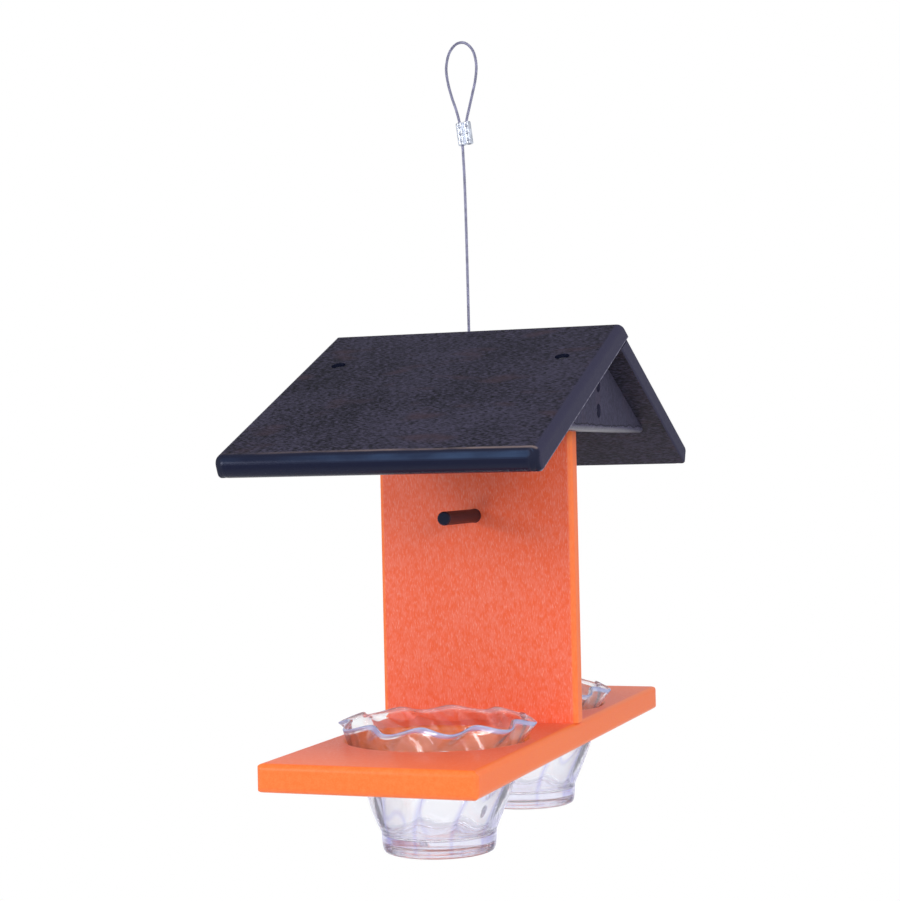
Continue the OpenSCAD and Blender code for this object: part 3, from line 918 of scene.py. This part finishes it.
class LumberSettings(PropertyGroup):
    corner: FloatProperty(
        name="Panel corners", description="Radius of the roof panels' corners at the eaves",
        default=6.3 * MM, subtype="DISTANCE",
    )
    # The face tones are partly painted sheen; the edge tones are the purer orange
    orange_deep: FloatVectorProperty(
        name="Orange, deep", description="Deeper tone of the orange faces",
        default=(0.885, 0.115, 0.03), subtype="COLOR",
    )
    orange_pale: FloatVectorProperty(
        name="Orange, pale", description="Paler tone of the orange faces",
        default=(0.90, 0.175, 0.095), subtype="COLOR",
    )
    orange_fibre: FloatVectorProperty(
        name="Orange fibres", description="Pale fibres in the orange faces",
        default=(0.92, 0.29, 0.20), subtype="COLOR",
    )
    orange_edge: FloatVectorProperty(
        name="Orange edge", description="Deeper tone of the orange edges",
        default=(0.95, 0.165, 0.02), subtype="COLOR",
    )
    orange_edge_pale: FloatVectorProperty(
        name="Orange edge, pale", description="Paler tone of the orange edges",
        default=(0.96, 0.20, 0.035), subtype="COLOR",
    )
    black_deep: FloatVectorProperty(
        name="Black, deep", description="Deeper tone of the black lumber",
        default=(0.003, 0.003, 0.006), subtype="COLOR",
    )
    black_pale: FloatVectorProperty(
        name="Black, pale", description="Paler tone of the black lumber",
        default=(0.044, 0.039, 0.068), subtype="COLOR",
    )
    black_warm: FloatVectorProperty(
        name="Black, warm", description="Reddish patches in the black lumber",
        default=(0.042, 0.024, 0.033), subtype="COLOR",
    )
    black_edge: FloatVectorProperty(
        name="Black edge", description="Colour of the black lumber's smooth edges",
        default=(0.008, 0.010, 0.026), subtype="COLOR",
    )
    black_end: FloatVectorProperty(
        name="Black end", description="Colour of the black lumber's sawn and rounded ends",
        default=(0.032, 0.030, 0.058), subtype="COLOR",
    )


class StageSettings(PropertyGroup):
    floor_drop: FloatProperty(
        name="Floor drop", description="Height of the feeder over the floor", default=0.26,
        subtype="DISTANCE",
    )
    floor_radius: FloatProperty(
        name="Floor radius", description="Radius of the floor", default=0.8, subtype="DISTANCE",
    )
    ambient: FloatProperty(
        name="Ambient", description="Strength of the even studio light", default=0.69,
    )
    corner_tint: FloatVectorProperty(
        name="Room corners", description="Colour of the white room's corners in reflections",
        default=(0.16, 0.16, 0.32), subtype="COLOR",
    )
    glass_corner_tint: FloatVectorProperty(
        name="Room corners through glass",
        description="Colour of the white room's corners seen through the plastic",
        default=(0.50, 0.48, 0.80), subtype="COLOR",
    )


# Operators

class FEEDER_OT_stage(Operator):
    """Sets up the camera, the pale floor and the soft studio light"""

    bl_idname = "feeder.stage"
    bl_label = "Stage"

    def execute(self, context):
        settings = context.scene.feeder_stage
        context.scene.view_settings.view_transform = "Standard"
        self.add_camera(context)
        self.add_floor(context, settings)
        self.light_world(context, settings)
        for name, place, width, power, tint in LAMPS:
            light = bpy.data.lights.new(name, "AREA")
            light.size = width
            light.energy = power
            light.color = tint
            lamp = bpy.data.objects.new(name, light)
            context.scene.collection.objects.link(lamp)
            lamp.location = place
            back = Vector(place) - Vector(LAMP_AIM)
            lamp.rotation_euler = back.to_track_quat("Z", "Y").to_euler()
        return {"FINISHED"}

    def add_camera(self, context):
        yaw, pitch, roll = CAMERA_TURN
        flat = Vector((-math.sin(yaw), math.cos(yaw), 0))
        ahead = math.cos(pitch) * flat + math.sin(pitch) * Vector((0, 0, 1))
        level = Vector((math.cos(yaw), math.sin(yaw), 0))
        upright = level.cross(ahead)
        right = math.cos(roll) * level + math.sin(roll) * upright
        up = math.cos(roll) * upright - math.sin(roll) * level
        data = bpy.data.cameras.new("camera")
        data.lens = CAMERA_LENS
        data.sensor_width = CAMERA_SENSOR
        data.clip_start = 0.01
        data.clip_end = 100
        camera = bpy.data.objects.new("camera", data)
        context.scene.collection.objects.link(camera)
        turn = Matrix((right, up, -ahead)).transposed()
        camera.matrix_world = Matrix.Translation(CAMERA_PLACE) @ turn.to_4x4()
        context.scene.camera = camera

    def add_floor(self, context, settings):
        shape = bmesh.new()
        bmesh.ops.create_circle(shape, cap_ends=True, segments=96, radius=settings.floor_radius)
        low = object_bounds()[0][2]
        bmesh.ops.translate(shape, vec=(0, 0, low - settings.floor_drop), verts=shape.verts)
        mesh = finish_mesh(shape, "floor")
        floor = bpy.data.objects.new("floor", mesh)
        context.scene.collection.objects.link(floor)
        floor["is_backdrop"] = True
        material, graph = new_material("floor")
        flat = graph.node(
            "ShaderNodeVectorMath", {"operation": "MULTIPLY"}, {0: graph.place(), 1: (1, 1, 0)}
        )
        length = graph.node("ShaderNodeVectorMath", {"operation": "LENGTH"}, {0: flat.outputs[0]})
        inner, outer = [share * settings.floor_radius for share in FLOOR_FADE]
        fade = graph.number(length.outputs["Value"]).between(inner, outer)
        speckle = graph.noise(90, detail=4.0)
        paint = graph.principled({
            "Base Color": graph.blend(speckle, FLOOR_DEEP, FLOOR_PALE),
            "Roughness": 0.9,
        })
        graph.finish(graph.mixed(fade, paint, graph.transparent(WHITE)))
        mesh.materials.append(material)

    def light_world(self, context, settings):
        """A white room: plain white for the camera, with dimmer corners and ceiling in gloss."""
        world = bpy.data.worlds.new("studio")
        context.scene.world = world
        world.use_nodes = True
        graph = Graph(world.node_tree)
        path = graph.node("ShaderNodeLightPath")
        camera = graph.number(path.outputs["Is Camera Ray"])
        through = graph.number(path.outputs["Is Transmission Ray"])
        mirrored = through.larger(graph.number(path.outputs["Is Glossy Ray"]))
        ahead = graph.coordinate("Generated")
        height = graph.along((0, 0, 1), ahead)
        level = (1 - height * height).larger(0.01) ** 0.5
        walls = [
            abs(graph.along((math.cos(angle), math.sin(angle), 0), ahead)) / level
            for angle in ROOM_WALLS
        ]
        wall = walls[0].larger(walls[1]).between(*ROOM_WALL_EDGE)
        opening = graph.along(ROOM_OPENING, ahead).between(*ROOM_OPENING_EDGE) * (1 - through)
        corner = graph.blend(through, settings.corner_tint, settings.glass_corner_tint)
        room = graph.blend(wall, corner, WHITE)
        room = graph.blend(opening * 0.75, room, ROOM_OPENING_TONE)
        dim = height.between(*ROOM_CEILING_EDGE) * (0.75 - 0.5 * through)
        room = graph.blend(dim, room, ROOM_CEILING_TONE)
        ambient = [settings.ambient * part for part in AMBIENT_TINT]
        light = graph.blend(mirrored, ambient, room)
        light = graph.blend(camera, light, WHITE)
        background = graph.node("ShaderNodeBackground", None, {"Color": light, "Strength": 1.0})
        graph.node("ShaderNodeOutputWorld", None, {"Surface": background.outputs[0]})


class FEEDER_OT_cable(Operator):
    """Lays the steel cable and its ferrules"""

    bl_idname = "feeder.cable"
    bl_label = "Cable and Ferrules"

    def execute(self, context):
        size = context.scene.feeder_cable
        ferrule_size = context.scene.feeder_ferrule
        points = [Vector((x * MM, 0, z * MM)) for x, z in CABLE_ROUTE]
        line = smooth_line(points, CABLE_STEP)
        steel = smooth_metal("cable_steel", size.tint, rough=0.38, metallic=0.85)
        mesh = cable_mesh(line, size, "steel_cable")
        cable = add_piece("steel_cable", mesh, "feeder", steel)
        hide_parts("hanging_cable")
        alloy = smooth_metal("ferrule_alloy", ferrule_size.tint, rough=0.25)
        mesh = finish_mesh(ferrule_shape(ferrule_size), "pressed_ferrule")
        mesh.set_sharp_from_angle(angle=SHARP_TURN)
        ferrule = add_piece("pressed_ferrule", mesh, "feeder", alloy)
        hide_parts("loop_ferrule")
        repaint("stop_ferrule", alloy)
        return {"FINISHED"}


class FEEDER_OT_cups(Operator):
    """Models the two clear cups with their swirled flutes and ruffled rims"""

    bl_idname = "feeder.cups"
    bl_label = "Jelly Cups"

    def execute(self, context):
        size = context.scene.feeder_cup
        plastic = clear_plastic("clear_plastic", size.tint, size.edge_tint, size.rim_reflection_tint)
        for side, place in CUP_PLACES.items():
            name = side + "_swirl_cup"
            shape = CupForm(size).shape(size.round_steps)
            bmesh.ops.translate(shape, vec=place, verts=shape.verts)
            cup = add_piece(name, finish_mesh(shape, name), side + "_cup", plastic)
            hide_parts(side + "_jelly_cup")
        return {"FINISHED"}


class FEEDER_OT_boards(Operator):
    """Finishes the orange base and upright"""

    bl_idname = "feeder.boards"
    bl_label = "Orange Boards"

    def execute(self, context):
        settings = context.scene.feeder_lumber
        base = orange_lumber("orange_base", (0, 1, 0), (0, 0, 1), settings, base_ends)
        upright = orange_lumber("orange_upright", (0, 0, 1), (0, 1, 0), settings, peg_painted_shade)
        repaint("base_board", base)
        repaint("upright_board", upright)
        return {"FINISHED"}


class FEEDER_OT_roof(Operator):
    """Finishes the black roof panels, the blocks under them and the peg"""

    bl_idname = "feeder.roof"
    bl_label = "Black Roof, Blocks and Peg"

    def execute(self, context):
        settings = context.scene.feeder_lumber
        # The front panel also gets its rubbed line and painted highlights
        panels = (("front_roof_panel", -1, front_wear_and_highlights), ("rear_roof_panel", 1, None))
        for node, side, extra in panels:
            face = (0, side * math.sin(ROOF_PITCH), math.cos(ROOF_PITCH))
            turn = (side * ROOF_PITCH, 0, 0)
            lumber = black_lumber("black_" + node, (1, 0, 0), face, turn, settings, extra)
            name = node.replace("_roof", "_rounded")
            mesh = finish_mesh(rounded_panel(node, side, settings.corner), name)
            mesh.set_sharp_from_angle(angle=SHARP_TURN)
            panel = add_piece(name, mesh, "feeder", lumber)
            weigh = panel.modifiers.new("even_faces", "WEIGHTED_NORMAL")
            weigh.keep_sharp = True
            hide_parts(node)
        still = (0, 0, 0)
        for node in ("left_gable_block", "right_gable_block"):
            name = "black_" + node
            repaint(node, black_lumber(name, (0, 0, 1), (1, 0, 0), still, settings, block_marks_and_highlight))
        peg = black_lumber("black_peg", (0, 1, 0), (0, 1, 0), still, settings, peg_ends)
        repaint("orange_peg", peg)
        return {"FINISHED"}


class FEEDER_OT_screws(Operator):
    """Finishes the screws"""

    bl_idname = "feeder.screws"
    bl_label = "Screws"

    def execute(self, context):
        steel = smooth_metal("screw_steel", SCREW_STEEL, rough=0.25)
        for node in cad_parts:
            if node.endswith("_screws"):
                repaint(node, steel)
        return {"FINISHED"}


OPERATORS = (
    FEEDER_OT_stage, FEEDER_OT_cable, FEEDER_OT_cups, FEEDER_OT_boards, FEEDER_OT_roof,
    FEEDER_OT_screws,
)


class VIEW3D_PT_feeder(Panel):
    """Lists the feeder's settings and the steps that model it"""

    bl_label = "Oriole Feeder"
    bl_idname = "VIEW3D_PT_feeder"
    bl_space_type = "VIEW_3D"
    bl_region_type = "UI"
    bl_category = "Feeder"

    def draw(self, context):
        for operator in OPERATORS:
            self.layout.operator(operator.bl_idname)
        for name, group in SETTINGS.items():
            box = self.layout.box()
            for prop in group.__annotations__:
                box.prop(getattr(context.scene, name), prop)


SETTINGS = {
    "feeder_cable": CableSettings,
    "feeder_ferrule": FerruleSettings,
    "feeder_cup": CupSettings,
    "feeder_lumber": LumberSettings,
    "feeder_stage": StageSettings,
}


def register():
    for group in SETTINGS.values():
        bpy.utils.register_class(group)
    for name, group in SETTINGS.items():
        setattr(bpy.types.Scene, name, PointerProperty(type=group))
    for operator in OPERATORS:
        bpy.utils.register_class(operator)
    bpy.utils.register_class(VIEW3D_PT_feeder)


def unregister():
    bpy.utils.unregister_class(VIEW3D_PT_feeder)
    for operator in reversed(OPERATORS):
        bpy.utils.unregister_class(operator)
    for name in SETTINGS:
        delattr(bpy.types.Scene, name)
    for group in reversed(list(SETTINGS.values())):
        bpy.utils.unregister_class(group)


def main():
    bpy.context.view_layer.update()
    register()
    bpy.ops.feeder.stage()
    bpy.ops.feeder.cable()
    bpy.ops.feeder.cups()
    bpy.ops.feeder.boards()
    bpy.ops.feeder.roof()
    bpy.ops.feeder.screws()


if __name__ == "__main__":
    main()
